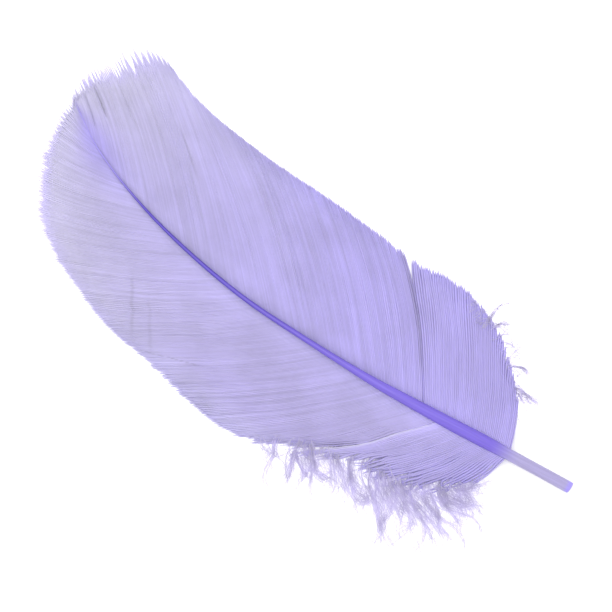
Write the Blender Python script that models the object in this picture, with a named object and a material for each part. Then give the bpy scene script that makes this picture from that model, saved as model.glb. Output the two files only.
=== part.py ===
"""A dyed body feather, lying on its hollow side.

The feather grew as one piece, so it is one closed solid: a hollow, cut quill that tapers into the
shaft, a vane of ridged barbs on each side, and locks of down round the foot of the vanes.
Lengths are in metres. Y runs from the quill's cut end to the tip, X across the vanes, Z up.
A station is a distance along Y from the quill's cut end, and a share is a part of a whole, 0 to 1.
"""

import math
import random

import bmesh
import bpy
from mathutils import Vector

MM = 0.001

# Shaft: its length, and at each station how far it bows to the side, how high it arches and its radius
SHAFT_LENGTH = 84.4 * MM
SHAFT_BOW = ((0, 0), (10, -1.6), (20, -3.3), (30, -4.85), (41, -5.95), (51, -6.6), (62, -6.1),
             (70.4, -4.9), (79, -2.6), (84.4, 0))
SHAFT_HEIGHT = ((0, 0.82), (14, 3.0), (30, 5.1), (46, 5.9), (62, 5.1), (74, 3.3), (84.4, 1.3))
SHAFT_RADIUS = ((0, 0.80), (9, 0.82), (14, 0.92), (20, 0.86), (29, 0.65), (36, 0.50), (50, 0.40),
                (62, 0.34), (84.4, 0.26))
SHAFT_SIDES = 12
SHAFT_RINGS = 32
PATH_STEP = 0.01
BORE_INSET = 0.34
BORE_DEPTH = 7.5 * MM

# Vanes: at each station the barb's length, and its angle to the shaft in degrees
BARB_LENGTH = {
    "right": ((9, 6), (10, 9), (12, 14.7), (14, 17.6), (17, 19.9), (22, 20.8), (25, 22.6), (30, 25.4),
              (40, 28.4), (50, 33.2), (54, 32.8), (60, 28.4), (66, 22.1), (72, 15.7), (78, 8.8), (84, 2)),
    "left": ((9, 4.6), (10, 6.4), (12, 13.6), (16, 16.7), (20, 20.8), (25, 24.4), (30, 25.1), (40, 23.5),
             (50, 22.1), (60, 20), (70, 14.1), (78, 7.4), (84, 2)),
}
BARB_ANGLE = {
    "right": ((8, 84), (12, 76), (22, 65), (32, 53), (45, 46), (60, 39), (72, 30), (79, 21), (84, 0)),
    "left": ((8, 70), (12, 58), (25, 47), (45, 43), (60, 40), (72, 33), (79, 23), (84, 0)),
}
BARB_BEND = {"right": 16, "left": 14}
BARB_STEPS = 12
SIDE_SIGN = {"right": 1, "left": -1}
VANE_START = 9.5 * MM
VANE_END = 84 * MM
SPLIT_STATION = {"right": 22.5 * MM, "left": 19.5 * MM}
SPLIT_GAP = {"right": 1.3 * MM, "left": 0.7 * MM}
SPLIT_FADE = 5 * MM
SPLIT_ROOT = 0.1
ROOT_THICKNESS = 0.36 * MM
EDGE_THICKNESS = 0.28 * MM
ROOT_DROP = 0.26 * MM
RIDGE_SPACING = 2.1 * MM
RIDGE_DEPTH = 0.12 * MM
RIDGE_REACH = ((0, 0.02), (58, 0.015), (68, 0.04), (78, 0.05), (84, 0.05))
BARB_SHARES = (0, 0.18, 0.37, 0.56, 0.75, 0.91, 1)
SEAM_WELD = 0.001 * MM

# How the vanes come down from the shaft to the surface, and how far their edges lift off it in waves
DROOP_START = 1.5
DROOP_END = 1.35
EDGE_SINK = 0.45 * MM
EDGE_WAVE = 0.6 * MM
WAVE_LENGTH = 23 * MM
WAVE_SHIFT = {"right": 5 * MM, "left": 14 * MM}
WAVE_POWER = 3
WAVE_FADE = 12 * MM

# Down: for each side its number of locks, where they leave the vane, and a line that their tips reach,
# then how much one lock differs from the next, and the headings that their tips turn to in degrees
DOWN_LOCKS = {"left": 24, "right": 6}
DOWN_STATIONS = {"left": (9.9 * MM, 25 * MM), "right": (10.2 * MM, 17 * MM)}
DOWN_ROOT_SHARE = {"left": (0.68, 0.92), "right": (0.74, 0.84)}
DOWN_PLACE = (0.1, 0.9)
DOWN_TIP_SWAY = (-0.06, 0.06)
DOWN_LEAVE_SHARE = 0.1
DOWN_TIPS = {
    "left": ((-7.0, 8.6), (-12.5, 6.7), (-16.6, 7.6), (-20.2, 10.4), (-22.4, 14.8), (-21.6, 21.4),
             (-22.6, 26.5), (-23.8, 31.2)),
    "right": ((3.2, 8.8), (8.0, 11.4), (12.0, 15.6), (14.2, 20.5), (14.9, 26.0)),
}
DOWN_REACH = (0.74, 1.0)
DOWN_TURN = {"left": (190, 250), "right": (85, 135)}
DOWN_BOW = 1.15
DOWN_RISE = (0.3 * MM, 1.7 * MM)
DOWN_SIDES = 5
DOWN_RINGS = 6
DOWN_RADIUS = (0.36 * MM, 0.15 * MM)
DOWN_SEED = 11

FEATHER_COLOUR = (0.50, 0.45, 0.81, 1)
FEATHER_ROUGHNESS = 0.6


def smooth_curve(stations):
    """A function through (place, value) pairs, with no corners between them."""
    places = [place for place, _ in stations]
    values = [value for _, value in stations]
    steps = [(values[i + 1] - values[i]) / (places[i + 1] - places[i]) for i in range(len(places) - 1)]
    slopes = [steps[0], *((a + b) / 2 for a, b in zip(steps, steps[1:])), steps[-1]]

    def value_at(place):
        place = min(max(place, places[0]), places[-1])
        i = max(k for k in range(len(places) - 1) if places[k] <= place)
        span = places[i + 1] - places[i]
        t = (place - places[i]) / span
        start = values[i] * (1 + 2 * t) * (1 - t) ** 2 + span * slopes[i] * t * (1 - t) ** 2
        end = values[i + 1] * t * t * (3 - 2 * t) + span * slopes[i + 1] * t * t * (t - 1)
        return start + end

    return value_at


def in_metres(stations):
    """The same curve for pairs in millimetres, as a function from metres to metres."""
    curve = smooth_curve(stations)
    return lambda station: curve(station / MM) * MM


shaft_bow = in_metres(SHAFT_BOW)
shaft_height = in_metres(SHAFT_HEIGHT)
shaft_radius = in_metres(SHAFT_RADIUS)
barb_length = {side: in_metres(stations) for side, stations in BARB_LENGTH.items()}
barb_angle = {side: smooth_curve(stations) for side, stations in BARB_ANGLE.items()}
ridge_reach = smooth_curve(RIDGE_REACH)


def between(ends, share):
    return ends[0] + (ends[1] - ends[0]) * share


def heading_vector(heading):
    """A level direction, for an angle in radians from +Y towards +X."""
    return Vector((math.sin(heading), math.cos(heading), 0))


def shaft_point(station):
    return Vector((shaft_bow(station), station, shaft_height(station)))


def shaft_heading(station):
    ahead = shaft_bow(station + MM / 2) - shaft_bow(station - MM / 2)
    return math.atan2(ahead, MM)


def barb_point(side, station, share):
    """A point a share of the way along the barb that leaves the shaft at a station, level with its root."""
    root_angle = math.radians(barb_angle[side](station / MM))
    bend = min(math.radians(BARB_BEND[side]), root_angle)
    point = shaft_point(station)
    run = barb_length[side](station) * share / BARB_STEPS
    for k in range(BARB_STEPS):
        angle = root_angle - bend * share * (k + 0.5) / BARB_STEPS
        point = point + heading_vector(shaft_heading(station) + SIDE_SIGN[side] * angle) * run
    return point


def vane_height(side, station, share):
    """Height of the vane's underside, which comes down from the shaft to lie flat on the surface."""
    root = shaft_height(station) - ROOT_DROP
    droop = (1 - share**DROOP_START) ** DROOP_END
    lift = math.sin(math.tau * (station + WAVE_SHIFT[side]) / WAVE_LENGTH)
    tip_fade = min(1, (VANE_END - station) / WAVE_FADE)
    wave = EDGE_WAVE * max(0, lift) * share**WAVE_POWER * tip_fade
    return max(0, (root + EDGE_SINK) * droop - EDGE_SINK + wave)


def vane_sheet(stretch, away):
    """Both vanes over a stretch of stations for each side, with a ridge for each lock of barbs.

    The split pushes the sheet's edge away, back along the shaft or on towards the tip. At the tip the
    last barbs of both sides run straight on from the shaft, where they are welded into one.
    """
    (first_start, first_end), (second_start, second_end) = stretch.values()
    rows = 2 * round((first_end - first_start + second_end - second_start) / 2 / RIDGE_SPACING)
    sheet = bmesh.new()
    thickness = sheet.verts.layers.float.new("thickness")
    columns = len(BARB_SHARES) - 1
    bmesh.ops.create_grid(sheet, x_segments=2 * columns, y_segments=rows, size=0.5)
    for vertex in sheet.verts:
        along = vertex.co.y + 0.5
        in_valley = round(along * rows) % 2 == 0
        share = BARB_SHARES[round(abs(2 * vertex.co.x) * columns)]
        side = "right" if vertex.co.x > 0 else "left"
        station = between(stretch[side], along)
        if share == 0:
            station = sum(between(ends, along) for ends in stretch.values()) / 2
        split_push = math.exp(-abs(station - SPLIT_STATION[side]) / SPLIT_FADE)
        place = barb_point(side, station, share * (1 - ridge_reach(station / MM) * in_valley))
        place.y += away * SPLIT_GAP[side] / 2 * split_push * max(share, SPLIT_ROOT)
        place.z = vane_height(side, station, share)
        vertex.co = place
        full = between((ROOT_THICKNESS, EDGE_THICKNESS), share)
        vertex[thickness] = full - RIDGE_DEPTH * in_valley * min(1, 2 * share)
    bmesh.ops.remove_doubles(sheet, verts=sheet.verts, dist=SEAM_WELD)
    raised = bmesh.ops.extrude_face_region(sheet, geom=list(sheet.faces))["geom"]
    for vertex in raised:
        if isinstance(vertex, bmesh.types.BMVert):
            vertex.co.z += vertex[thickness]
    bmesh.ops.recalc_face_normals(sheet, faces=sheet.faces)
    return sheet


def straight_bar(sides, rings):
    """A bar of radius 1 and length 1 along Z, cut into rings."""
    bar = bmesh.new()
    bmesh.ops.create_cone(bar, cap_ends=True, segments=sides, radius1=1, radius2=1, depth=1)
    lengthwise = [edge for edge in bar.edges if edge.verts[0].co.z * edge.verts[1].co.z < 0]
    bmesh.ops.subdivide_edges(bar, edges=lengthwise, cuts=rings - 1, use_grid_fill=True)
    return bar


def lay_along(bar, point_at, radius_at):
    """Bends and tapers a straight bar to follow a path."""
    for vertex in bar.verts:
        share = vertex.co.z + 0.5
        direction = point_at(min(1, share + PATH_STEP)) - point_at(max(0, share - PATH_STEP))
        across = direction.cross(Vector((0, 0, 1))).normalized()
        over = across.cross(direction).normalized()
        spread = across * vertex.co.x + over * vertex.co.y
        vertex.co = point_at(share) + spread * radius_at(share)
    for face in bar.faces:
        face.smooth = True
    bmesh.ops.recalc_face_normals(bar, faces=bar.faces)


def shaft():
    """The quill and the shaft, with the quill's bore open at its cut end."""
    bar = straight_bar(SHAFT_SIDES, SHAFT_RINGS)
    cut_end = min(bar.faces, key=lambda face: face.calc_center_median().z)
    bmesh.ops.inset_individual(bar, faces=[cut_end], thickness=BORE_INSET)
    bore = bmesh.ops.extrude_face_region(bar, geom=[cut_end])["geom"]
    bmesh.ops.delete(bar, geom=[cut_end], context="FACES_ONLY")
    for vertex in bore:
        if isinstance(vertex, bmesh.types.BMVert):
            vertex.co.z += BORE_DEPTH / SHAFT_LENGTH
    lay_along(
        bar,
        lambda share: shaft_point(share * SHAFT_LENGTH),
        lambda share: shaft_radius(share * SHAFT_LENGTH),
    )
    return bar


def point_on_line(corners, share):
    """A point a share of the way along a line given by corners in millimetres."""
    place = min(max(share, 0), 1) * (len(corners) - 1)
    first = min(int(place), len(corners) - 2)
    start, end = (Vector((x * MM, y * MM, 0)) for x, y in corners[first:first + 2])
    return start.lerp(end, place - first)


def down_lock(side, index, dice):
    """A curling lock of down, from a barb near the foot of the vane to its loose tip."""
    place = (index + dice.uniform(*DOWN_PLACE)) / DOWN_LOCKS[side]
    station = between(DOWN_STATIONS[side], place)
    root_share = dice.uniform(*DOWN_ROOT_SHARE[side])
    root = barb_point(side, station, root_share)
    along_barb = (root - barb_point(side, station, root_share - DOWN_LEAVE_SHARE)).normalized()
    root.z = vane_height(side, station, root_share) + EDGE_THICKNESS / 2
    tip = point_on_line(DOWN_TIPS[side], place + dice.uniform(*DOWN_TIP_SWAY))
    tip = Vector((root.x, root.y, 0)).lerp(tip, dice.uniform(*DOWN_REACH))
    arriving = heading_vector(math.radians(dice.uniform(*DOWN_TURN[side])))
    leaving = (along_barb + (tip - root).normalized()).normalized()
    bow = (tip - root).length * DOWN_BOW
    rise = dice.uniform(*DOWN_RISE)

    def radius_at(share):
        return between(DOWN_RADIUS, share)

    def point_at(share):
        back = 1 - share
        start = root * (1 + 2 * share) * back**2 + leaving * bow * share * back**2
        end = tip * share**2 * (3 - 2 * share) - arriving * bow * share**2 * back
        point = start + end
        point.z = max(radius_at(share), point.z + rise * math.sin(math.pi * share))
        return point

    lock = straight_bar(DOWN_SIDES, DOWN_RINGS)
    lay_along(lock, point_at, radius_at)
    return lock


def growths():
    """Everything that grows from the shaft, as closed shapes that overlap it or each other."""
    dice = random.Random(DOWN_SEED)
    below_splits = {side: (VANE_START, SPLIT_STATION[side]) for side in SIDE_SIGN}
    above_splits = {side: (SPLIT_STATION[side], VANE_END) for side in SIDE_SIGN}
    shapes = [vane_sheet(below_splits, -1), vane_sheet(above_splits, 1)]
    for side in SIDE_SIGN:
        shapes.extend(down_lock(side, index, dice) for index in range(DOWN_LOCKS[side]))
    return shapes


def centre_on_origin(shapes):
    """Moves the shapes together so that the middle of their shared base is the origin."""
    corners = [vertex.co for shape in shapes for vertex in shape.verts]
    low = [min(corner[axis] for corner in corners) for axis in range(3)]
    high = [max(corner[axis] for corner in corners) for axis in range(3)]
    offset = Vector(((low[0] + high[0]) / -2, (low[1] + high[1]) / -2, -low[2]))
    for shape in shapes:
        bmesh.ops.translate(shape, verts=shape.verts, vec=offset)


def feather_material():
    material = bpy.data.materials.new("feather")
    material.use_nodes = True
    surface = material.node_tree.nodes["Principled BSDF"]
    surface.inputs["Base Color"].default_value = FEATHER_COLOUR
    surface.inputs["Roughness"].default_value = FEATHER_ROUGHNESS
    surface.inputs["Metallic"].default_value = 0
    return material


def add_object(name, shape, collection, material):
    mesh = bpy.data.meshes.new(name)
    shape.to_mesh(mesh)
    shape.free()
    mesh.materials.append(material)
    thing = bpy.data.objects.new(name, mesh)
    collection.objects.link(thing)
    return thing


def main():
    for old in list(bpy.data.objects):
        bpy.data.objects.remove(old)
    body = shaft()
    shapes = growths()
    centre_on_origin([body, *shapes])
    material = feather_material()
    helpers = bpy.data.collections.new("growths")
    bpy.context.scene.collection.children.link(helpers)
    feather = add_object("feather", body, bpy.context.scene.collection, material)
    for index, shape in enumerate(shapes):
        helper = add_object(f"growth_{index}", shape, helpers, material)
        helper.hide_render = True
        helper.display_type = "WIRE"
    fuse = feather.modifiers.new("fuse", "BOOLEAN")
    fuse.operation = "UNION"
    fuse.operand_type = "COLLECTION"
    fuse.collection = helpers
    fuse.solver = "EXACT"
    fuse.use_self = True


main()
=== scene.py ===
"""The looks of a dyed body feather that lies on its hollow side.

The frame's solid feather is replaced by its real parts: a hollow quill that runs on as the shaft,
two vanes of some three hundred barbs each, and the loose down round their foot.
Lengths are in metres. A station is a distance along Y from the quill's cut end, a share is a part of
a whole, 0 to 1, and a heading is an angle from +Y towards +X.
"""

import math
import random

import bmesh
import bpy
from bpy.props import FloatProperty, FloatVectorProperty, IntProperty, PointerProperty
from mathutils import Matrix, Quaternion, Vector, noise


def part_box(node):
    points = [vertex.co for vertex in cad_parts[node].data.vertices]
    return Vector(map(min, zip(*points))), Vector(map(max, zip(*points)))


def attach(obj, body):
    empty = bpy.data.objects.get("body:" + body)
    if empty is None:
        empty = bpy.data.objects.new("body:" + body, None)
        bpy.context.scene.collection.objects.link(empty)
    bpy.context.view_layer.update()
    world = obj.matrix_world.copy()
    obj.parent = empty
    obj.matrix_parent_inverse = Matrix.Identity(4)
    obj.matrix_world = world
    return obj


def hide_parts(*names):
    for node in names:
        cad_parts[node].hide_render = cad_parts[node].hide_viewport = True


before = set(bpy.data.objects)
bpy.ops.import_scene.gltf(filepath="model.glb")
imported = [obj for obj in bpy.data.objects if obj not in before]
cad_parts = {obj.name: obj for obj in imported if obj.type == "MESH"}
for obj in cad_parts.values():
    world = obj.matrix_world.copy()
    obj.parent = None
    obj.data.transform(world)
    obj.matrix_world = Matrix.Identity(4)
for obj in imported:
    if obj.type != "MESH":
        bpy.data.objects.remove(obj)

bl_info = {
    "name": "Dyed body feather",
    "version": (1, 0, 0),
    "blender": (4, 5, 0),
    "location": "3D View > Sidebar > Feather",
    "description": "Builds the quill, vanes and down of a dyed body feather, and its studio",
    "category": "Add Mesh",
}

MM = 0.001
BODY = "root"

# Shaft: its length, and at each station how far it bows to the side, how high it arches and its radius
SHAFT_LENGTH = 84.4 * MM
SHAFT_BOW = ((0, 0), (10, -1.6), (20, -3.3), (30, -4.85), (41, -5.95), (51, -6.6), (62, -6.1),
             (70.4, -4.9), (79, -2.6), (84.4, 0))
SHAFT_HEIGHT = ((0, 0.82), (14, 3.0), (30, 5.1), (46, 5.9), (62, 5.1), (74, 3.3), (84.4, 1.3))
SHAFT_RADIUS = ((0, 0.80), (9, 0.80), (14, 0.90), (20, 0.84), (29, 0.63), (36, 0.44), (50, 0.32),
                (62, 0.24), (72, 0.15), (79, 0.08), (84.4, 0.03))

# Vanes: at each station the barb's length, and its angle to the shaft in degrees
BARB_LENGTH = {
    "right": ((9, 6), (10, 9), (12, 14.7), (14, 17.6), (17, 19.9), (22, 20.8), (25, 22.6), (30, 25.4),
              (40, 28.4), (50, 33.6), (54, 33.3), (60, 29), (66, 23.4), (72, 17.4), (78, 10.6), (84, 2.7)),
    "left": ((9, 6), (10, 8.6), (12, 13.8), (16, 16.7), (20, 20.8), (25, 24.4), (30, 25.1), (40, 23.6),
             (50, 22.7), (60, 20.9), (70, 14.8), (78, 8), (84, 2.5)),
}
BARB_ANGLE = {
    "right": ((8, 84), (12, 76), (22, 65), (32, 53), (45, 46), (60, 39), (72, 30), (79, 21), (84, 0)),
    "left": ((8, 88), (12, 61), (25, 47), (45, 43), (60, 40), (72, 33), (79, 23), (84, 0)),
}
BARB_BEND = {"right": 16, "left": 14}
SIDE_SIGN = {"right": 1, "left": -1}
VANE_START = 9.5 * MM
VANE_END = 84 * MM
ROOT_DROP = 0.26 * MM

# The split in each vane: where it leaves the shaft, how far from it barbs still bend with it, how strongly
# its lower rim is painted pale as painted light from the gap, and how far the rims wave from side to side,
# at a rate in radians along the barb
SPLIT_STATION = {"right": 22.5 * MM, "left": 19.5 * MM}
SPLIT_FADE = 5 * MM
SPLIT_PAINTED_LIGHT = {"right": 0, "left": 3}
SPLIT_WAVE = {"right": 0.12 * MM, "left": 0.3 * MM}
SPLIT_WAVE_RATE = 9

# How wide the split in each vane stands open, in millimetres, from the shaft to the edge
SPLIT_OPEN = {
    "right": ((0, 0.0), (0.3, 0.0), (0.72, 0.12), (0.88, 0.7), (1, 1.5)),
    "left": ((0, 0.0), (0.3, 0.05), (0.6, 0.15), (0.8, 0.5), (1, 1.3)),
}

# Barbs that lie over their neighbours: station in millimetres, shares where it starts and ends, strength,
# then how wide such a place is, how high it lifts, how dark its painted shade is and over what shares it
# sets in and ends
LAPS = {
    "right": ((66.0, 0.62, 0.99, 0.5), (73.2, 0.58, 0.98, 1.6), (78.0, 0.35, 0.8, 0.9),
              (55.3, 0.45, 0.55, 1.1), (48.3, 0.5, 0.68, 0.4), (33.2, 0.52, 0.78, 0.4),
              (22.65, 0.2, 0.97, 1.0)),
    "left": ((37.8, 0.66, 0.8, 0.4),),
}
LAP_WIDTH = 0.17 * MM
LAP_LIFT = 0.12 * MM
LAP_PAINTED_SHADE = 1.1
LAP_STARTS_OVER = 0.06
LAP_STOPS_OVER = 0.04

# Faint darker lines across the left vane, each from one (station, share) to another, with its strength
LEFT_LINES = (
    ((45.0, 0.87), (55.0, 0.53), 0.10),
    ((40.8, 0.90), (50.8, 0.57), 0.07),
    ((37.5, 0.72), (41.2, 0.985), 0.16),
)
LINE_WIDTH = 0.02

# How the vanes come down from the shaft to the surface, and how far their edges lift off it in waves
DROOP_START = 1.5
DROOP_END = 1.35
EDGE_SINK = 0.45 * MM
EDGE_WAVE = 0.6 * MM
WAVE_LENGTH = 23 * MM
WAVE_SHIFT = {"right": 5 * MM, "left": 14 * MM}
WAVE_POWER = 3
WAVE_FADE = 12 * MM

# Locks: how wide they are and how that varies, how strongly the free ends of the barbs gather into points,
# by station, and how far from the end that starts
LOCK_PITCH = {"right": 1.35 * MM, "left": 1.1 * MM}
LOCK_PITCH_SPREAD = 0.25
LOCK_PITCH_CHANGE = 9 * MM
LOCK_PULL = {
    "right": ((8, 0.14), (20, 0.1), (46, 0.12), (53, 0.35), (58, 0.72), (78, 0.7), (84, 0.4)),
    "left": ((8, 0.7), (19, 0.6), (24, 0.08), (60, 0.05), (72, 0.12), (84, 0.3)),
}
LOCK_DEPTH = 2.8 * MM

# The slow wander of the barbs, coarse and fine: how wide a bunch is, how fast it changes along the barbs,
# its strength in millimetres and the seed of its pattern
WANDERS = ((2.4 * MM, 2.2, 0.26, 7), (0.9 * MM, 3.5, 0.12, 3))

# How far barbs stray at the foot of each vane, where they turn to down, in millimetres, in what bunches, and
# over which stations that ends, as shares of the split's station
FRAY = {"right": 0.1, "left": 1.1}
FRAY_WIDTH = 0.6 * MM
FRAY_CHANGE = 5
FRAY_SEED = 11
FRAY_ENDS = (0.8, 1.15)

# How much the barbs differ in length, and how long their thin ends are in millimetres, by station
LENGTH_SPREAD = {
    "right": ((8, 0.03), (24, 0.012), (46, 0.012), (58, 0.045), (84, 0.06)),
    "left": ((8, 0.10), (12, 0.16), (19, 0.12), (26, 0.014), (56, 0.018), (66, 0.03), (84, 0.04)),
}
TAPER_LENGTH = {
    "right": ((8, 1.2), (24, 1.0), (46, 1.0), (56, 2.6), (84, 2.4)),
    "left": ((8, 1.0), (12, 1.6), (17, 2.4), (26, 1.2), (56, 1.3), (66, 1.7), (84, 1.8)),
}
LENGTH_BUNCH = 1.1 * MM
LENGTH_CHANCE = (-0.7, 0.5)

# A barb's ribbon: how far it lies over the vane's surface at the shaft and at its end, how far it rolls in
# degrees, the least and greatest distance between neighbours over the usual one, how much lower its thin end
# and its outer part are, and the half width, height and foot of a bar's triangular section of radius 1
BARB_RISE = (0.16 * MM, 0.03 * MM)
BARB_ROLL = (2, 8)
PITCH_LIMITS = (0.45, 1.15)
THIN_END_HEIGHT = 0.35
OUTER_THINNING = 0.4
SECTION_HALF_WIDTH = 0.866
SECTION_HEIGHT = 1.5
SECTION_FOOT = 0.5

# The lowest place that a barb or a thread may have over the surface it lies on
LOWEST = 0.00001

# Tone of the barbs: the width and strength of its patches, how much one barb differs from the next, and how
# much of both is left near the vane's foot, up to which stations
TONE_PATCH = 0.7 * MM
TONE_BY_PATCH = 0.35
TONE_BY_BARB = 0.2
FOOT_TONE = 0.4
FOOT_TONE_ENDS = (15 * MM, 30 * MM)

# Horn: how narrow the groove under the shaft is and where it sets in, how long, how many and how deep the
# faint pits in its surface are, and the share of the radius beyond which it is the quill's outer wall
GROOVE_NARROWNESS = 6
GROOVE_STARTS = (12 * MM, 20 * MM)
PIT_LENGTH = 3 * MM
PITS_AROUND = 1.5
PIT_DEPTH = 0.03
OUTER_WALL = 0.9

# Down: for each side its number of locks, where they leave the vane, and a line that their tips reach
DOWN_LOCKS = {"left": 26, "right": 4}
DOWN_STATIONS = {"left": (10.3 * MM, 25 * MM), "right": (10.2 * MM, 17 * MM)}
DOWN_ROOT_SHARE = {"left": (0.58, 0.9), "right": (0.74, 0.84)}
DOWN_TIPS = {
    "left": ((-7.0, 8.6), (-12.5, 6.7), (-16.6, 7.6), (-20.2, 10.4), (-22.4, 14.8), (-21.6, 21.4),
             (-22.8, 27.5), (-24.2, 34.0)),
    "right": ((3.2, 8.8), (8.0, 11.4), (12.0, 15.6), (14.2, 20.5), (14.9, 26.0)),
}
DOWN_PLACE = (0.1, 0.9)
DOWN_CROWDING = 1.5
DOWN_TIP_SWAY = (-0.06, 0.06)

# Fluff: loose wisps between the locks. Locks and wisps reach these shares of the way to the line of tips
FLUFF_LOCKS = {"left": 140, "right": 34}
DOWN_REACH = (0.92, 1.02)
FLUFF_REACH = (0.4, 1.0)

# How down hangs: the headings in degrees that tips turn to at each end of their line, how far locks bow and
# how high they rise, their curl as a share of their length, and how far single threads stray from them
DOWN_TURN = {"left": ((195, 255), (255, 330)), "right": ((85, 135), (60, 110))}
DOWN_BOW = 1.15
DOWN_RISE = {"left": (0.3 * MM, 1.7 * MM), "right": (0.05 * MM, 0.4 * MM)}
LOCK_CURL = (0.07, 0.15)
STRAY = {"left": 1.25 * MM, "right": 0.8 * MM}
STRAY_IN_A_LOCK = 0.4

# A curl: how fast its waves turn, in radians along the thread, how far its root shifts, how strong and how
# flat its waves are, and the turn, size and start of its hook
CURL_RATES = (4, 11)
CURL_ROOT = 0.8
CURL_WAVE = 0.5
CURL_FLATNESS = 0.4
HOOK_TURN = 6
HOOK_SIZE = (0.5, 1.3)
HOOK_START = 0.45

# Threads and hairs: how they thin, how much shorter a thread may be, how thin a hair is beside it, where on
# it hairs may start, how long they are over the usual, and how far along a path its direction is read
THREAD_TAPER = (1.1, 0.35)
THREAD_SHORTENING = 0.3
HAIR_WIDTH = 0.4
HAIR_STARTS = (0.25, 1)
HAIR_SIZE = (0.3, 1.0)
LOOK_AHEAD = 0.02

BARB_SEED = 5
DOWN_SEED = 11
THREAD_SEED = 23

# The tint of light that passes straight through gaps too fine to model, and the floor's darker grain
GAP_COLOUR = (0.87, 0.84, 1.0)
FLOOR_GRAIN = (0.8, 0.8, 0.8)

# How far up each vane the stronger dye of its foot goes, as a share of the shaft
FOOT_DYE = {"right": 1.0, "left": 0.26}


def dye(red, green, blue):
    """A colour of the dyed feather, from 0 to 255 a channel as a screen shows it."""
    channels = (value / 255 for value in (red, green, blue))
    return tuple(((c + 0.055) / 1.055) ** 2.4 if c > 0.04 else c / 12.92 for c in channels)


def smooth_curve(stations):
    """A function through (place, value) pairs, with no corners between them."""
    places = [place for place, _ in stations]
    values = [value for _, value in stations]
    steps = [(values[i + 1] - values[i]) / (places[i + 1] - places[i]) for i in range(len(places) - 1)]
    slopes = [steps[0], *((a + b) / 2 for a, b in zip(steps, steps[1:])), steps[-1]]

    def value_at(place):
        place = min(max(place, places[0]), places[-1])
        i = max(k for k in range(len(places) - 1) if places[k] <= place)
        span = places[i + 1] - places[i]
        t = (place - places[i]) / span
        start = values[i] * (1 + 2 * t) * (1 - t) ** 2 + span * slopes[i] * t * (1 - t) ** 2
        end = values[i + 1] * t * t * (3 - 2 * t) + span * slopes[i + 1] * t * t * (t - 1)
        return start + end

    return value_at


def in_metres(stations):
    """The same curve for pairs in millimetres, as a function from metres to metres."""
    curve = smooth_curve(stations)
    return lambda station: curve(station / MM) * MM


shaft_bow = in_metres(SHAFT_BOW)
shaft_height = in_metres(SHAFT_HEIGHT)
shaft_radius = in_metres(SHAFT_RADIUS)
barb_length = {side: in_metres(stations) for side, stations in BARB_LENGTH.items()}
barb_angle = {side: smooth_curve(stations) for side, stations in BARB_ANGLE.items()}
split_open = {side: smooth_curve(shares) for side, shares in SPLIT_OPEN.items()}
lock_pull = {side: smooth_curve(stations) for side, stations in LOCK_PULL.items()}
length_spread = {side: smooth_curve(stations) for side, stations in LENGTH_SPREAD.items()}
taper_length = {side: in_metres(stations) for side, stations in TAPER_LENGTH.items()}


def between(ends, share):
    return ends[0] + (ends[1] - ends[0]) * share


def ramp(start, end, place):
    """How far a place is from start to end, kept within 0 and 1 and eased at both."""
    t = min(max((place - start) / (end - start), 0), 1)
    return t * t * (3 - 2 * t)


def heading_vector(heading):
    return Vector((math.sin(heading), math.cos(heading), 0))


def shaft_point(station):
    return Vector((shaft_bow(station), station, shaft_height(station)))


def shaft_heading(station):
    ahead = shaft_bow(station + MM / 2) - shaft_bow(station - MM / 2)
    return math.atan2(ahead, MM)


def vane_height(side, station, share):
    """Height of the vane's underside, which comes down from the shaft to lie flat on the surface."""
    share = min(share, 1)
    root = shaft_height(station) - ROOT_DROP
    droop = (1 - share**DROOP_START) ** DROOP_END
    lift = math.sin(math.tau * (station + WAVE_SHIFT[side]) / WAVE_LENGTH)
    tip_fade = min(1, (VANE_END - station) / WAVE_FADE)
    wave = EDGE_WAVE * max(0, lift) * share**WAVE_POWER * tip_fade
    return max(0, (root + EDGE_SINK) * droop - EDGE_SINK + wave)


def cut_end_centre():
    """The middle of the quill's cut end in the frame, read from the solid feather."""
    low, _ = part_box("feather")
    rim = [vertex.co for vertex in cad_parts["feather"].data.vertices if vertex.co.y < low.y + MM]
    return Vector([(min(co[axis] for co in rim) + max(co[axis] for co in rim)) / 2 for axis in range(3)])


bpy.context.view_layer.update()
PLACE = cut_end_centre() - shaft_point(0)


class VaneSurface:
    """One vane as a smooth surface, read by station and by share of the barb's length."""

    ROW_STEP = 0.5 * MM
    COLUMNS = 27
    REACH = 1.08

    def __init__(self, side):
        self.side = side
        rows = round((VANE_END - VANE_START) / self.ROW_STEP)
        self.rows = [self.barb_path(VANE_START + row * self.ROW_STEP) for row in range(rows + 1)]

    def barb_path(self, station):
        """Points along the barb that leaves the shaft at a station, a little past its end."""
        root_angle = math.radians(barb_angle[self.side](station / MM))
        bend = min(math.radians(BARB_BEND[self.side]), root_angle)
        turn = shaft_heading(station)
        step = self.REACH / self.COLUMNS
        run = barb_length[self.side](station) * step
        point = shaft_point(station)
        path = []
        for column in range(self.COLUMNS + 1):
            share = column * step
            point.z = vane_height(self.side, station, share)
            path.append(point)
            angle = root_angle - bend * (share + step / 2)
            point = point + heading_vector(turn + SIDE_SIGN[self.side] * angle) * run
        return path

    def at(self, station, share):
        row = min(max((station - VANE_START) / self.ROW_STEP, 0), len(self.rows) - 1.001)
        column = min(max(share / self.REACH * self.COLUMNS, 0), self.COLUMNS - 0.001)
        i, j = int(row), int(column)
        near = self.rows[i][j].lerp(self.rows[i][j + 1], column - j)
        far = self.rows[i + 1][j].lerp(self.rows[i + 1][j + 1], column - j)
        return near.lerp(far, row - i)


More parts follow.
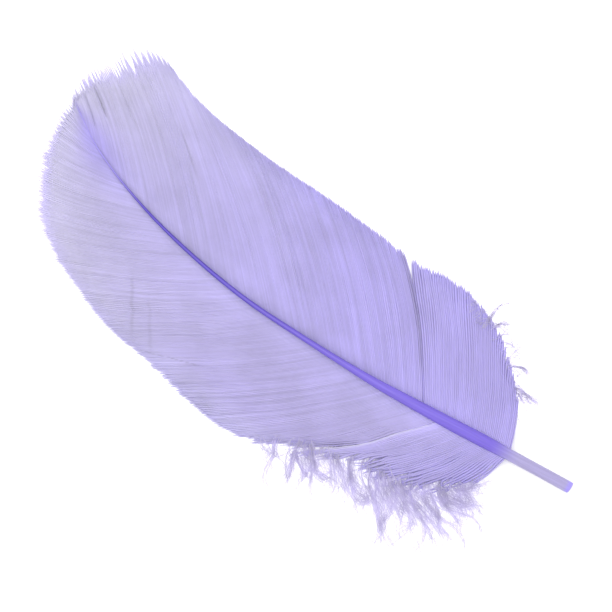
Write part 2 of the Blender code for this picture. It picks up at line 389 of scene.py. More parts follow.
def straight_bar(sides, rings):
    """A mesh of a bar of radius 1 along Z from 0 to 1, cut into rings."""
    bar = bmesh.new()
    bmesh.ops.create_cone(bar, cap_ends=True, segments=sides, radius1=1, radius2=1, depth=1)
    lengthwise = [edge for edge in bar.edges if edge.verts[0].co.z * edge.verts[1].co.z < 0]
    bmesh.ops.subdivide_edges(bar, edges=lengthwise, cuts=rings - 1, use_grid_fill=True)
    bmesh.ops.translate(bar, verts=bar.verts, vec=(0, 0, 0.5))
    bmesh.ops.recalc_face_normals(bar, faces=bar.faces)
    for face in bar.faces:
        face.smooth = abs(face.normal.z) < 0.5
    mesh = bpy.data.meshes.new("bar")
    bar.to_mesh(mesh)
    bar.free()
    return mesh


def repeat(shape, mesh, count):
    """Adds count copies of a mesh to a shape and returns the corners of each copy."""
    done = len(shape.verts)
    for _ in range(count):
        shape.from_mesh(mesh)
    shape.verts.ensure_lookup_table()
    size = len(mesh.vertices)
    return [shape.verts[done + i * size:done + (i + 1) * size] for i in range(count)]


def finish_piece(name, shape, material):
    """Makes a finished object of a shape, in its place in the frame and riding with the feather."""
    bmesh.ops.translate(shape, verts=shape.verts, vec=PLACE)
    mesh = bpy.data.meshes.new(name)
    shape.to_mesh(mesh)
    shape.free()
    mesh.materials.append(material)
    piece = bpy.data.objects.new(name, mesh)
    bpy.context.scene.collection.objects.link(piece)
    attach(piece, BODY)
    return piece


# Materials
def new_material(name):
    material = bpy.data.materials.new(name)
    material.use_nodes = True
    return material, material.node_tree


def add_node(tree, kind, settings=None, **inputs):
    """A shader node with its settings, and its sockets set to a value or joined to another's output.

    A socket goes by its name, or by i and its number where names are shared or have spaces.
    """
    node = tree.nodes.new(kind)
    for setting, value in (settings or {}).items():
        setattr(node, setting, value)
    for name, value in inputs.items():
        numbered = name[0] == "i" and name[1:].isdigit()
        socket = node.inputs[int(name[1:]) if numbered else name]
        if isinstance(value, bpy.types.NodeSocket):
            tree.links.new(value, socket)
        else:
            socket.default_value = value
    return node


def attribute(tree, name):
    return add_node(tree, "ShaderNodeAttribute", {"attribute_name": name}).outputs["Fac"]


def remap(tree, value, start, end, low, high):
    """A value that goes from low to high while another goes from start to end."""
    node = add_node(tree, "ShaderNodeMapRange", {"interpolation_type": "SMOOTHSTEP"}, Value=value)
    for name, number in (("From Min", start), ("From Max", end), ("To Min", low), ("To Max", high)):
        node.inputs[name].default_value = number
    return node.outputs["Result"]


def blend(tree, factor, first, second):
    """One colour going over to another."""
    node = add_node(tree, "ShaderNodeMix", {"data_type": "RGBA"})
    for index, value in ((0, factor), (6, first), (7, second)):
        if isinstance(value, bpy.types.NodeSocket):
            tree.links.new(value, node.inputs[index])
        else:
            node.inputs[index].default_value = value if index == 0 else (*value[:3], 1)
    return node.outputs[2]


def shade(tree, colour, factor):
    """A colour made lighter or darker by a factor near 1."""
    grey = add_node(tree, "ShaderNodeCombineColor", i0=factor, i1=factor, i2=factor).outputs[0]
    node = add_node(tree, "ShaderNodeMix", {"data_type": "RGBA", "blend_type": "MULTIPLY"}, i0=1.0)
    tree.links.new(colour, node.inputs[6])
    tree.links.new(grey, node.inputs[7])
    return node.outputs[2]


def product(tree, *values):
    result = values[0]
    for value in values[1:]:
        result = add_node(tree, "ShaderNodeMath", {"operation": "MULTIPLY"}, i0=result, i1=value).outputs[0]
    return result


def let_light_through(tree, colour, glow, gaps):
    """Lets light soak through a thin piece, and pass straight through the gaps between its hairs."""
    surface = tree.nodes["Principled BSDF"]
    through = add_node(tree, "ShaderNodeBsdfTranslucent", Color=colour)
    mix = add_node(tree, "ShaderNodeMixShader", i0=glow, i1=surface.outputs[0], i2=through.outputs[0])
    clear = add_node(tree, "ShaderNodeBsdfTransparent", Color=(*GAP_COLOUR, 1))
    mix = add_node(tree, "ShaderNodeMixShader", i0=gaps, i1=mix.outputs[0], i2=clear.outputs[0])
    tree.links.new(mix.outputs[0], tree.nodes["Material Output"].inputs["Surface"])


def faint_line(tree, station, share, line):
    """A factor just under 1 on a straight line across the barbs, and 1 away from it."""
    (first, first_share), (last, last_share), strength = line
    middle = add_node(tree, "ShaderNodeMapRange", {"clamp": False}, Value=station)
    ends = (first * MM / SHAFT_LENGTH, last * MM / SHAFT_LENGTH, first_share, last_share)
    for name, number in zip(("From Min", "From Max", "To Min", "To Max"), ends):
        middle.inputs[name].default_value = number
    off = add_node(tree, "ShaderNodeMath", {"operation": "SUBTRACT"}, i0=share, i1=middle.outputs[0])
    off = add_node(tree, "ShaderNodeMath", {"operation": "ABSOLUTE"}, i0=off.outputs[0])
    near = remap(tree, off.outputs[0], 0.0, LINE_WIDTH, 1, 0)
    fade = (ends[1] - ends[0]) * 0.25
    starts = remap(tree, station, ends[0] - fade, ends[0] + fade, 0, 1)
    stops = remap(tree, station, ends[1] - fade, ends[1] + fade, 1, 0)
    return remap(tree, product(tree, near, starts, stops), 0.0, 1.0, 1.0, 1 - strength)


def vane_material(side, colours):
    material, tree = new_material(f"dyed_vane_{side}")
    share = attribute(tree, "share")
    station = attribute(tree, "station")
    # The tone holds each barb's random tone, with painted shade at laps and painted light on the left
    # split's rim
    tone = attribute(tree, "tone")
    colour = blend(tree, remap(tree, share, 0.0, 0.35, 0, 1), colours.vane_root, colours.vane_middle)
    colour = blend(tree, remap(tree, share, 0.7, 1.0, 0, 1), colour, colours.vane_edge)
    base = remap(tree, station, 0.1, FOOT_DYE[side], 0.85, 0)
    colour = blend(tree, base, colour, colours.vane_foot)
    ends = product(tree, remap(tree, station, 0.5, 0.8, 0, 1), remap(tree, share, 0.74, 1, 0, 1))
    paler = product(tree, remap(tree, station, 0.3, 0.85, 0, 1), remap(tree, share, 0.1, 1, 0.3, 1))
    colour = blend(tree, paler, colour, colours.vane_tip)
    shaft_end = product(tree, remap(tree, station, 0.8, 0.95, 0, 1), remap(tree, share, 0.1, 0.7, 0.9, 0))
    colour = blend(tree, shaft_end, colour, colours.vane_foot)
    across = product(tree, station, 300.0)
    along = product(tree, share, 2.5)
    place = add_node(tree, "ShaderNodeCombineXYZ", X=across, Y=along).outputs[0]
    streaks = add_node(tree, "ShaderNodeTexNoise", Vector=place, Scale=1.0, Detail=2.0).outputs[0]
    here = add_node(tree, "ShaderNodeTexCoord").outputs["Object"]
    patches = add_node(tree, "ShaderNodeTexNoise", Vector=here, Scale=160.0, Detail=3.0).outputs[0]
    factor = product(tree, remap(tree, tone, -2, 1, 0.6, 1.06), remap(tree, streaks, 0.3, 0.7, 0.96, 1.03),
                     remap(tree, patches, 0.3, 0.7, 0.95, 1.04))
    if side == "left":
        factor = product(tree, factor, *(faint_line(tree, station, share, line) for line in LEFT_LINES))
    colour = shade(tree, colour, factor)
    colour = blend(tree, ends, colour, colours.vane_rim)
    # Painted light: the barbs on the left split's lower rim go pale, as if lit through the gap
    colour = blend(tree, remap(tree, tone, 1, 3, 0, 1), colour, colours.split_painted_light)
    surface = tree.nodes["Principled BSDF"]
    tree.links.new(colour, surface.inputs["Base Color"])
    surface.inputs["Roughness"].default_value = 0.6
    surface.inputs["Specular IOR Level"].default_value = 0.3
    surface.inputs["Sheen Weight"].default_value = 0.12
    surface.inputs["Sheen Roughness"].default_value = 0.5
    gaps = remap(tree, share, 0.8, 1.0, 0.15, 0.27)
    gaps = add_node(tree, "ShaderNodeMath", {"operation": "ADD"}, i0=gaps, i1=product(tree, ends, 0.4))
    let_light_through(tree, colour, 0.45, gaps.outputs[0])
    return material


def shaft_material(colours):
    material, tree = new_material("horn_of_the_shaft")
    station = attribute(tree, "station")
    around = attribute(tree, "around")
    colour = blend(tree, remap(tree, station, 0.095, 0.15, 0, 1), colours.quill, colours.shaft_foot)
    colour = blend(tree, remap(tree, station, 0.3, 0.75, 0, 1), colour, colours.shaft_middle)
    colour = blend(tree, remap(tree, station, 0.8, 0.95, 0, 1), colour, colours.shaft_tip)
    colour = blend(tree, remap(tree, station, 0.012, 0.004, 0, 1), colour, colours.quill_end)
    around = product(tree, around, 9.0)
    along = product(tree, station, 14.0)
    place = add_node(tree, "ShaderNodeCombineXYZ", X=around, Y=along)
    grain = add_node(tree, "ShaderNodeTexNoise", Vector=place.outputs[0], Scale=1.0, Detail=4.0).outputs[0]
    colour = shade(tree, colour, remap(tree, grain, 0.3, 0.7, 0.9, 1.06))
    surface = tree.nodes["Principled BSDF"]
    tree.links.new(colour, surface.inputs["Base Color"])
    surface.inputs["Roughness"].default_value = 0.36
    surface.inputs["Specular IOR Level"].default_value = 0.5
    surface.inputs["Coat Weight"].default_value = 0.15
    surface.inputs["Coat Roughness"].default_value = 0.3
    let_light_through(tree, colour, 0.3, 0.0)
    return material


def down_material(colours):
    material, tree = new_material("loose_down")
    tone = attribute(tree, "tone")
    colour = blend(tree, remap(tree, tone, -1, 1, 0, 1), colours.down_dark, colours.down_light)
    here = add_node(tree, "ShaderNodeTexCoord").outputs["Object"]
    patches = add_node(tree, "ShaderNodeTexNoise", Vector=here, Scale=700.0, Detail=2.0).outputs[0]
    colour = shade(tree, colour, remap(tree, patches, 0.3, 0.7, 0.92, 1.05))
    surface = tree.nodes["Principled BSDF"]
    tree.links.new(colour, surface.inputs["Base Color"])
    surface.inputs["Roughness"].default_value = 0.75
    surface.inputs["Sheen Weight"].default_value = 0.2
    let_light_through(tree, colour, 0.7, 0.3)
    return material


def floor_material(colours):
    material, tree = new_material("pale_floor")
    here = add_node(tree, "ShaderNodeTexCoord").outputs["Object"]
    grain = add_node(tree, "ShaderNodeTexNoise", Vector=here, Scale=60.0, Detail=3.0).outputs[0]
    colour = blend(tree, remap(tree, grain, 0.3, 0.7, 0, 0.02), colours.floor, FLOOR_GRAIN)
    surface = tree.nodes["Principled BSDF"]
    tree.links.new(colour, surface.inputs["Base Color"])
    surface.inputs["Roughness"].default_value = 0.8
    surface.inputs["Specular IOR Level"].default_value = 0.0
    return material


# Shaft
def make_shaft(sizes, colours):
    """The quill and shaft: a hollow tube at the cut end, then horn with a groove along its underside."""
    bar = straight_bar(sizes.shaft_sides, sizes.shaft_rings)
    shape = bmesh.new()
    shape.from_mesh(bar)
    cut_end = min(shape.faces, key=lambda face: face.calc_center_median().z)
    bmesh.ops.inset_individual(shape, faces=[cut_end], thickness=sizes.quill_wall / shaft_radius(0))
    bore = bmesh.ops.extrude_face_region(shape, geom=[cut_end])["geom"]
    bmesh.ops.delete(shape, geom=[cut_end], context="FACES_ONLY")
    for vertex in bore:
        if isinstance(vertex, bmesh.types.BMVert):
            vertex.co.z += sizes.bore_depth / SHAFT_LENGTH
    stations = shape.verts.layers.float.new("station")
    around = shape.verts.layers.float.new("around")
    for vertex in shape.verts:
        share = vertex.co.z
        station = share * SHAFT_LENGTH
        vertex[stations] = share
        vertex[around] = math.atan2(vertex.co.x, vertex.co.y) / math.pi
        direction = (shaft_point(station + MM / 2) - shaft_point(station - MM / 2)).normalized()
        across = direction.cross(Vector((0, 0, 1))).normalized()
        over = across.cross(direction)
        low_side = max(0, -vertex.co.y) ** GROOVE_NARROWNESS * ramp(*GROOVE_STARTS, station)
        radius = shaft_radius(station) * (1 - sizes.groove_depth * low_side)
        if vertex.co.xy.length > OUTER_WALL:
            spot = Vector((vertex.co.x * PITS_AROUND, vertex.co.y * PITS_AROUND, station / PIT_LENGTH))
            radius *= 1 + PIT_DEPTH * noise.noise(spot)
        vertex.co = shaft_point(station) + (across * vertex.co.x + over * vertex.co.y) * radius
    bmesh.ops.recalc_face_normals(shape, faces=shape.faces)
    piece = finish_piece("shaft", shape, shaft_material(colours))
    piece.data.set_sharp_from_angle(angle=math.radians(50))
    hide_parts("feather")


# Vanes
def barb_shares(rings):
    """Shares along a barb, closer together towards its thin end."""
    return [1 - (1 - ring / rings) ** 1.5 for ring in range(rings + 1)]


def lock_shift(side, station, from_end):
    """How far a barb leans towards the middle of its lock, at a distance from its end."""
    change = noise.noise(Vector((station / LOCK_PITCH_CHANGE, 0.5, 0)))
    pitch = LOCK_PITCH[side] * (1 + LOCK_PITCH_SPREAD * change)
    place = station / pitch
    to_middle = (math.floor(place) + 0.5 - place) * pitch
    pull = lock_pull[side](station / MM) * (1 - ramp(0, LOCK_DEPTH, from_end))
    return to_middle * pull


def streak_shift(side, station, share):
    """The slow wander of the barbs, which bunches them here and parts them there."""
    wander = 0
    for width, change, strength, seed in WANDERS:
        spot = Vector((station / width, share * change, SIDE_SIGN[side] * seed))
        wander += strength * noise.noise(spot)
    fray = Vector((station / FRAY_WIDTH, share * FRAY_CHANGE, FRAY_SEED))
    first, last = (SPLIT_STATION[side] * end for end in FRAY_ENDS)
    loose = FRAY[side] * (1 - ramp(first, last, station))
    wander += loose * noise.noise(fray) * ramp(0.6, 1.0, share)
    return wander * MM * ramp(0.03, 0.4, share)


def lap_at(side, station, share):
    """How much a place on a barb lies over its neighbour, 0 where it doesn't."""
    laps = (
        strength * math.exp(-((station / MM - where) * MM / LAP_WIDTH) ** 2)
        * ramp(start, start + LAP_STARTS_OVER, share) * (1 - ramp(end, end + LAP_STOPS_OVER, share))
        for where, start, end, strength in LAPS[side]
    )
    return max(laps)


def barb_lines(side, stretch, away, sizes, dice):
    """The station of each barb in a stretch of vane, and its course as rows of (place, share, taper).

    The stretch gives way to the split at one end: away is 1 above the split and -1 below it.
    """
    surface = VaneSurface(side)
    count = round((stretch[1] - stretch[0]) / sizes.barb_spacing)
    shares = barb_shares(sizes.barb_rings)
    lines = []
    for index in range(count + 1):
        station = stretch[0] + (stretch[1] - stretch[0]) * index / count
        length = max(barb_length[side](station), MM)
        spread = length_spread[side](station / MM)
        bunch = noise.noise(Vector((station / LENGTH_BUNCH, away, 2)))
        reach = 1 + spread * (bunch + dice.uniform(*LENGTH_CHANCE))
        near_split = math.exp(-abs(station - SPLIT_STATION[side]) / SPLIT_FADE)
        lift = dice.uniform(0, sizes.barb_lift)
        line = []
        for share in shares:
            from_end = (1 - share) * length
            where = station + lock_shift(side, station, from_end) + streak_shift(side, station, share)
            place = surface.at(where, share * reach)
            place.y += away * split_open[side](share) * MM / 2 * near_split
            wave = SPLIT_WAVE[side] * math.sin(SPLIT_WAVE_RATE * share)
            place.y += wave * ramp(0.1, 0.4, share) * near_split
            rise = (max(BARB_RISE[0], shaft_radius(station) * 0.5), BARB_RISE[1])
            place.z += between(rise, ramp(0, 0.6, share)) + lift * ramp(0, 0.3, share)
            place.z += LAP_LIFT * lap_at(side, station, share)
            taper = min(1, 0.1 + from_end / taper_length[side](station))
            line.append((place, share, taper))
        lines.append((station, line))
    return lines


def make_vane(name, side, stretch, away, sizes, material, dice):
    """A stretch of vane, one ridged ribbon for each barb with its edges on its neighbours'."""
    lines = barb_lines(side, stretch, away, sizes, dice)
    bar = straight_bar(3, sizes.barb_rings)
    shape = bmesh.new()
    share_layer = shape.verts.layers.float.new("share")
    station_layer = shape.verts.layers.float.new("station")
    tone_layer = shape.verts.layers.float.new("tone")
    copies = repeat(shape, bar, len(lines))
    for index, corners in enumerate(copies):
        station, line = lines[index]
        before = lines[max(index - 1, 0)][1]
        after = lines[min(index + 1, len(lines) - 1)][1]
        roll = math.radians(dice.uniform(*BARB_ROLL)) * SIDE_SIGN[side]
        tone = TONE_BY_PATCH * noise.noise(Vector((station / TONE_PATCH, SIDE_SIGN[side] * 5, 1)))
        tone += dice.uniform(-TONE_BY_BARB, TONE_BY_BARB)
        tone *= between((FOOT_TONE, 1), ramp(*FOOT_TONE_ENDS, station))
        # Painted light on the split's lower rim, carried in the tone
        if away < 0:
            tone += SPLIT_PAINTED_LIGHT[side] * math.exp((station - SPLIT_STATION[side]) / sizes.barb_spacing / 2)
        for corner in corners:
            ring = round(corner.co.z * sizes.barb_rings)
            place, share, taper = line[ring]
            direction = line[min(ring + 1, sizes.barb_rings)][0] - line[max(ring - 1, 0)][0]
            direction.normalize()
            apart = after[ring][0] - before[ring][0]
            upward = direction.cross(apart)
            if upward.length < 1e-9:
                upward = Vector((0, 0, 1))
            upward = upward.normalized() if upward.z > 0 else -upward.normalized()
            pitch = min(apart.cross(direction).length / 2, sizes.barb_spacing * PITCH_LIMITS[1])
            pitch = max(pitch, sizes.barb_spacing * PITCH_LIMITS[0])
            upward = Quaternion(direction, roll) @ upward
            across = direction.cross(upward)
            half_width = pitch * sizes.barb_width / 2 * taper
            height = sizes.barb_thickness * between((THIN_END_HEIGHT, 1), taper)
            height *= 1 - OUTER_THINNING * share
            sideways = corner.co.x / SECTION_HALF_WIDTH * half_width
            up = (corner.co.y + SECTION_FOOT) / SECTION_HEIGHT * height
            corner.co = place + (across * sideways + upward * up)
            corner.co.z = max(corner.co.z, LOWEST)
            corner[share_layer] = share
            corner[station_layer] = station / SHAFT_LENGTH
            # Painted shade: the tone is lowered where a barb lies over its neighbour
            corner[tone_layer] = tone - LAP_PAINTED_SHADE * lap_at(side, station, share)
    bmesh.ops.recalc_face_normals(shape, faces=shape.faces)
    finish_piece(name, shape, material)


def make_vanes(sizes, colours):
    dice = random.Random(BARB_SEED)
    for side in SIDE_SIGN:
        material = vane_material(side, colours)
        split = SPLIT_STATION[side]
        make_vane(f"vane_{side}_foot", side, (VANE_START, split), -1, sizes, material, dice)
        make_vane(f"vane_{side}_main", side, (split, VANE_END), 1, sizes, material, dice)


# Down
def point_on_line(corners, share):
    """A point a share of the way along a line given by corners in millimetres."""
    place = min(max(share, 0), 1) * (len(corners) - 1)
    first = min(int(place), len(corners) - 2)
    start, end = (Vector((x * MM, y * MM, 0)) for x, y in corners[first:first + 2])
    return start.lerp(end, place - first)


def lock_path(surface, side, index, count, reach, dice):
    """The course of a curling lock of down, from a barb near the vane's foot to its loose tip."""
    place = (index + dice.uniform(*DOWN_PLACE)) / count
    station = between(DOWN_STATIONS[side], place**DOWN_CROWDING)
    root_share = dice.uniform(*DOWN_ROOT_SHARE[side])
    root = surface.at(station, root_share)
    along_barb = (root - surface.at(station, root_share - 0.1)).normalized()
    root.z *= 0.5
    tip = point_on_line(DOWN_TIPS[side], place + dice.uniform(*DOWN_TIP_SWAY))
    tip = Vector((root.x, root.y, 0)).lerp(tip, dice.uniform(*reach))
    first_turn, last_turn = DOWN_TURN[side]
    turn = between((dice.uniform(*first_turn), dice.uniform(*last_turn)), place)
    arriving = heading_vector(math.radians(turn))
    leaving = (along_barb + (tip - root).normalized()).normalized()
    bow = (tip - root).length * DOWN_BOW
    rise = dice.uniform(*DOWN_RISE[side])
    offset_at = curl(dice, dice.uniform(*LOCK_CURL) * (tip - root).length)

    def point_at(share):
        back = 1 - share
        start = root * (1 + 2 * share) * back**2 + leaving * bow * share * back**2
        end = tip * share**2 * (3 - 2 * share) - arriving * bow * share**2 * back
        point = start + end + offset_at(share)
        point.z = max(0, point.z + rise * math.sin(math.pi * share) * share)
        return point

    return point_at


def curl(dice, size):
    """A thread's own wander off its lock: a lean to one side, waves, and a hook at the loose end."""
    phases = [dice.uniform(0, math.tau) for _ in range(3)]
    rates = [dice.uniform(*CURL_RATES) for _ in range(3)]
    lean = Vector((dice.uniform(-1, 1), dice.uniform(-1, 1), dice.uniform(-0.2, 0.5))) * size
    root = Vector((dice.uniform(-1, 1), dice.uniform(-1, 1), 0)) * size * CURL_ROOT
    hook_turn = dice.uniform(-1, 1) * HOOK_TURN
    hook_heading = dice.uniform(0, math.tau)
    hook_size = dice.uniform(*HOOK_SIZE) * size

    def offset_at(share):
        sway = Vector([math.sin(rate * share + phase) for rate, phase in zip(rates, phases)])
        sway.z *= CURL_FLATNESS
        bent = ramp(HOOK_START, 1.0, share)
        hook = heading_vector(hook_heading + hook_turn * bent) - heading_vector(hook_heading)
        return root + (lean + sway * size * CURL_WAVE) * share + hook * hook_size * bent

    return offset_at


def lay_thread(corners, point_at, radius_at, rings):
    """Bends a straight bar to follow a path, resting on the surface at the lowest."""
    for corner in corners:
        share = round(corner.co.z * rings) / rings
        direction = point_at(min(1, share + LOOK_AHEAD)) - point_at(max(0, share - LOOK_AHEAD))
        across = direction.cross(Vector((0, 0, 1))).normalized()
        over = across.cross(direction).normalized()
        point = point_at(share) + (across * corner.co.x + over * corner.co.y) * radius_at(share)
        point.z = max(point.z, LOWEST)
        corner.co = point


def thread_path(lock, offset_at, length):
    """The course of a thread, which follows a lock for a share of its length and wanders off it."""
    return lambda share: lock(share * length) + offset_at(share)


def grow_hair(path, sizes, dice):
    """Where a hair leaves a thread's path, and the way to its tip."""
    start = dice.uniform(*HAIR_STARTS)
    way = Vector((dice.uniform(-1, 1), dice.uniform(-1, 1), dice.uniform(-0.3, 0.5)))
    way *= dice.uniform(*HAIR_SIZE) * sizes.hair_length
    along = (path(min(1, start + LOOK_AHEAD)) - path(start - LOOK_AHEAD)).normalized()
    return path(start), way + along * sizes.hair_length * 0.5


def make_down(side, sizes, material, locks, fluff):
    """Down on one side: threads in curling locks and loose fluff, each thread with short hairs along it."""
    dice = random.Random(THREAD_SEED)
    paths = []
    bunches = [(lock, STRAY_IN_A_LOCK * STRAY[side]) for lock in locks * sizes.threads_in_a_lock]
    bunches += [(lock, STRAY[side]) for lock in fluff * sizes.threads_in_fluff]
    for lock, most in bunches:
        offset_at = curl(dice, dice.uniform(0.25, 1) * most)
        length = 1 - THREAD_SHORTENING * dice.random() ** 2
        paths.append(thread_path(lock, offset_at, length))

    def thread_radius(share):
        return sizes.thread_radius * (THREAD_TAPER[0] - THREAD_TAPER[1] * share)

    def hair_radius(share):
        return sizes.thread_radius * HAIR_WIDTH * (THREAD_TAPER[0] - share)

    shape = bmesh.new()
    tone_layer = shape.verts.layers.float.new("tone")
    threads = repeat(shape, straight_bar(3, sizes.thread_rings), len(paths))
    for corners, path in zip(threads, paths):
        tone = dice.uniform(-1, 1)
        for corner in corners:
            corner[tone_layer] = tone
        lay_thread(corners, path, thread_radius, sizes.thread_rings)
    hairs = [grow_hair(path, sizes, dice) for path in paths for _ in range(sizes.hairs_on_a_thread)]
    hair_rings = 2
    copies = repeat(shape, straight_bar(3, hair_rings), len(hairs))
    for corners, (root, way) in zip(copies, hairs):
        tone = dice.uniform(-0.2, 1)
        for corner in corners:
            corner[tone_layer] = tone
        lay_thread(corners, lambda share: root + way * share, hair_radius, hair_rings)
    bmesh.ops.recalc_face_normals(shape, faces=shape.faces)
    finish_piece(f"down_{side}", shape, material)


def make_downs(sizes, colours):
    material = down_material(colours)
    dice = random.Random(DOWN_SEED)
    for side in SIDE_SIGN:
        surface = VaneSurface(side)
        count = DOWN_LOCKS[side]
        locks = [lock_path(surface, side, index, count, DOWN_REACH, dice) for index in range(count)]
        count = FLUFF_LOCKS[side]
        fluff_dice = random.Random(THREAD_SEED)
        fluff = [lock_path(surface, side, index, count, FLUFF_REACH, fluff_dice) for index in range(count)]
        make_down(side, sizes, material, locks, fluff)


# Stage
def make_stage(stage, colours):
    """A pale floor, a soft sky and one large soft lamp, with the camera looking straight down."""
    shape = bmesh.new()
    bmesh.ops.create_grid(shape, x_segments=2, y_segments=2, size=stage.floor_size / 2)
    mesh = bpy.data.meshes.new("floor")
    shape.to_mesh(mesh)
    shape.free()
    mesh.materials.append(floor_material(colours))
    floor = bpy.data.objects.new("floor", mesh)
    scene = bpy.context.scene
    scene.collection.objects.link(floor)
    world = bpy.data.worlds.new("soft_sky")
    world.use_nodes = True
    sky = world.node_tree.nodes["Background"]
    sky.inputs["Color"].default_value = (1, 1, 1, 1)
    sky.inputs["Strength"].default_value = stage.sky_strength
    scene.world = world
    lamp_data = bpy.data.lights.new("soft_lamp", "AREA")
    lamp_data.shape = "SQUARE"
    lamp_data.size = stage.lamp_size
    lamp_data.energy = stage.lamp_power
    lamp = bpy.data.objects.new("soft_lamp", lamp_data)
    lamp.location = Vector(stage.lamp_place)
    lamp.rotation_euler = (-lamp.location).to_track_quat("-Z", "Y").to_euler()
    scene.collection.objects.link(lamp)
    camera_data = bpy.data.cameras.new("camera")
    camera_data.lens = stage.lens
    camera_data.sensor_width = stage.sensor
    height = stage.view_width * stage.lens / stage.sensor
    camera = bpy.data.objects.new("camera", camera_data)
    centre = PLACE + Vector((stage.view_centre[0], stage.view_centre[1], 0))
    camera.location = (centre.x, centre.y, height)
    camera.rotation_euler = (0, 0, stage.view_turn)
    scene.collection.objects.link(camera)
    scene.camera = camera
    scene.view_settings.view_transform = "Standard"


def length_property(name, description, default):
    return FloatProperty(name=name, description=description, default=default, unit="LENGTH", precision=5)


def colour_property(name, description, default):
    return FloatVectorProperty(name=name, description=description, default=default, subtype="COLOR",
                               size=3, min=0, max=1)


class FeatherSizes(bpy.types.PropertyGroup):
    """Sizes of the feather's fine parts"""

    barb_spacing: length_property("Barb spacing", "From one barb to the next along the shaft", 0.25 * MM)
    barb_width: FloatProperty(name="Barb width", description="Width over spacing", default=1.5)
    barb_thickness: length_property("Barb thickness", "Height of a barb's ridge", 0.08 * MM)
    barb_lift: length_property("Barb lift", "How far barbs lie over or under each other", 0.05 * MM)
    barb_rings: IntProperty(name="Barb rings", description="Lengths a barb is made of", default=14)
    shaft_sides: IntProperty(name="Shaft sides", description="Facets round the shaft", default=24)
    shaft_rings: IntProperty(name="Shaft rings", description="Lengths the shaft is made of", default=140)
    quill_wall: length_property("Quill wall", "Thickness of the hollow quill", 0.2 * MM)
    bore_depth: length_property("Bore depth", "How deep the quill is open", 7.5 * MM)
    groove_depth: FloatProperty(name="Groove depth", description="Groove over radius", default=0.3)
    threads_in_a_lock: IntProperty(name="Threads", description="Down threads in a lock", default=9)
    threads_in_fluff: IntProperty(name="Fluff", description="Threads in a wisp of fluff", default=2)
    thread_rings: IntProperty(name="Thread rings", description="Lengths a thread is made of", default=20)
    thread_radius: length_property("Thread radius", "Radius of a thread of down", 0.035 * MM)
    hairs_on_a_thread: IntProperty(name="Hairs", description="Hairs along a thread", default=10)
    hair_length: length_property("Hair length", "Length of the hairs", 1.1 * MM)


class FeatherColours(bpy.types.PropertyGroup):
    """Colours of the dyed feather and its floor"""

    vane_root: colour_property("Vane at the shaft", "Dye where barbs leave the shaft", dye(220, 212, 254))
    vane_middle: colour_property("Vane", "Dye halfway along the barbs", dye(215, 207, 247))
    vane_edge: colour_property("Vane edge", "Dye at the barbs' ends", dye(225, 220, 251))
    vane_foot: colour_property("Vane foot", "Stronger dye near the quill", dye(208, 198, 252))
    vane_tip: colour_property("Vane tip", "Pale dye round the feather's tip", dye(232, 228, 250))
    vane_rim: colour_property("Vane rim", "Nearly clear ends of the barbs round the tip", dye(247, 245, 253))
    # Painted light: the pale rim of the left vane's split stands for light coming through the gap
    split_painted_light: colour_property("Split edge", "Pale rim of the left vane's split", dye(240, 237, 254))
    quill: colour_property("Quill", "Clear horn of the hollow quill", dye(171, 163, 206))
    quill_end: colour_property("Quill end", "Dye gathered at the cut", dye(165, 152, 234))
    shaft_foot: colour_property("Shaft foot", "Strong dye at the thick of the shaft", dye(124, 104, 213))
    shaft_middle: colour_property("Shaft", "Dye halfway up the shaft", dye(88, 69, 184))
    shaft_tip: colour_property("Shaft tip", "Dye at the thin end of the shaft", dye(172, 160, 232))
    down_dark: colour_property("Down in bunches", "Dye of the thicker down", dye(241, 237, 253))
    down_light: colour_property("Down", "Pale dye of the loose down", dye(252, 250, 255))
    floor: colour_property("Floor", "The floor", (0.9, 0.9, 0.9))


class FeatherStage(bpy.types.PropertyGroup):
    """The floor, light and camera"""

    floor_size: length_property("Floor size", "Length of the floor's sides", 2.0)
    sky_strength: FloatProperty(name="Sky", description="Strength of the even light", default=1.1)
    lamp_power: FloatProperty(name="Lamp", description="Power of the soft lamp", default=4.0, unit="POWER")
    lamp_size: length_property("Lamp size", "Length of the lamp's sides", 0.5)
    lamp_place: FloatVectorProperty(name="Lamp place", description="Where the lamp hangs", size=3,
                                    default=(0.05, 0.1, 0.75), subtype="TRANSLATION", unit="LENGTH")
    lens: FloatProperty(name="Lens", description="Focal length in millimetres", default=200)
    sensor: FloatProperty(name="Sensor", description="Width of the sensor in millimetres", default=36)
    view_width: length_property("View width", "Width of what the camera sees", 83.3 * MM)
    view_turn: FloatProperty(name="View turn", description="How the camera is turned over the feather",
                             default=math.radians(-52.37), subtype="ANGLE", unit="ROTATION")
    view_centre: FloatVectorProperty(name="View centre", description="Middle of the view, from the cut end",
                                     size=2, default=(-2.35 * MM, 43.5 * MM), subtype="XYZ", precision=5)


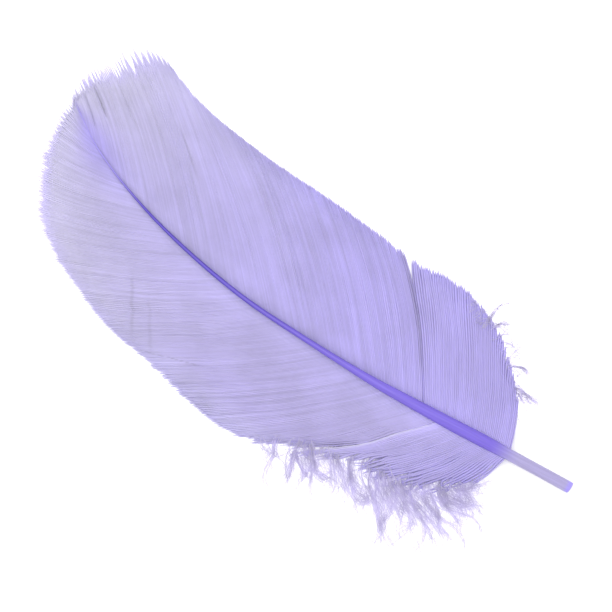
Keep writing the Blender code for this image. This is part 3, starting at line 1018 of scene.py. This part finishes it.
class FEATHER_OT_shaft(bpy.types.Operator):
    """Model the hollow quill and the shaft"""

    bl_idname = "feather.shaft"
    bl_label = "Quill and shaft"

    def execute(self, context):
        make_shaft(context.scene.feather_sizes, context.scene.feather_colours)
        return {"FINISHED"}


class FEATHER_OT_vanes(bpy.types.Operator):
    """Model the barbs of both vanes"""

    bl_idname = "feather.vanes"
    bl_label = "Vanes"

    def execute(self, context):
        make_vanes(context.scene.feather_sizes, context.scene.feather_colours)
        return {"FINISHED"}


class FEATHER_OT_down(bpy.types.Operator):
    """Model the loose down at the foot of the vanes"""

    bl_idname = "feather.down"
    bl_label = "Down"

    def execute(self, context):
        make_downs(context.scene.feather_sizes, context.scene.feather_colours)
        return {"FINISHED"}


class FEATHER_OT_stage(bpy.types.Operator):
    """Set up the floor, the light and the camera"""

    bl_idname = "feather.stage"
    bl_label = "Stage"

    def execute(self, context):
        make_stage(context.scene.feather_stage, context.scene.feather_colours)
        return {"FINISHED"}


OPERATORS = (FEATHER_OT_shaft, FEATHER_OT_vanes, FEATHER_OT_down, FEATHER_OT_stage)
GROUPS = {"feather_sizes": FeatherSizes, "feather_colours": FeatherColours, "feather_stage": FeatherStage}


class FEATHER_PT_panel(bpy.types.Panel):
    """The feather's pieces, sizes and colours"""

    bl_idname = "FEATHER_PT_panel"
    bl_label = "Feather"
    bl_space_type = "VIEW_3D"
    bl_region_type = "UI"
    bl_category = "Feather"

    def draw(self, context):
        for operator in OPERATORS:
            self.layout.operator(operator.bl_idname)
        for group_name, group in GROUPS.items():
            box = self.layout.box()
            for property_name in group.__annotations__:
                box.prop(getattr(context.scene, group_name), property_name)


def register():
    for kind in (*GROUPS.values(), *OPERATORS, FEATHER_PT_panel):
        bpy.utils.register_class(kind)
    for name, group in GROUPS.items():
        setattr(bpy.types.Scene, name, PointerProperty(type=group))


def unregister():
    for name in GROUPS:
        delattr(bpy.types.Scene, name)
    for kind in (FEATHER_PT_panel, *OPERATORS, *GROUPS.values()):
        bpy.utils.unregister_class(kind)


def main():
    register()
    bpy.ops.feather.shaft()
    bpy.ops.feather.vanes()
    bpy.ops.feather.down()
    bpy.ops.feather.stage()


if __name__ == "__main__":
    main()
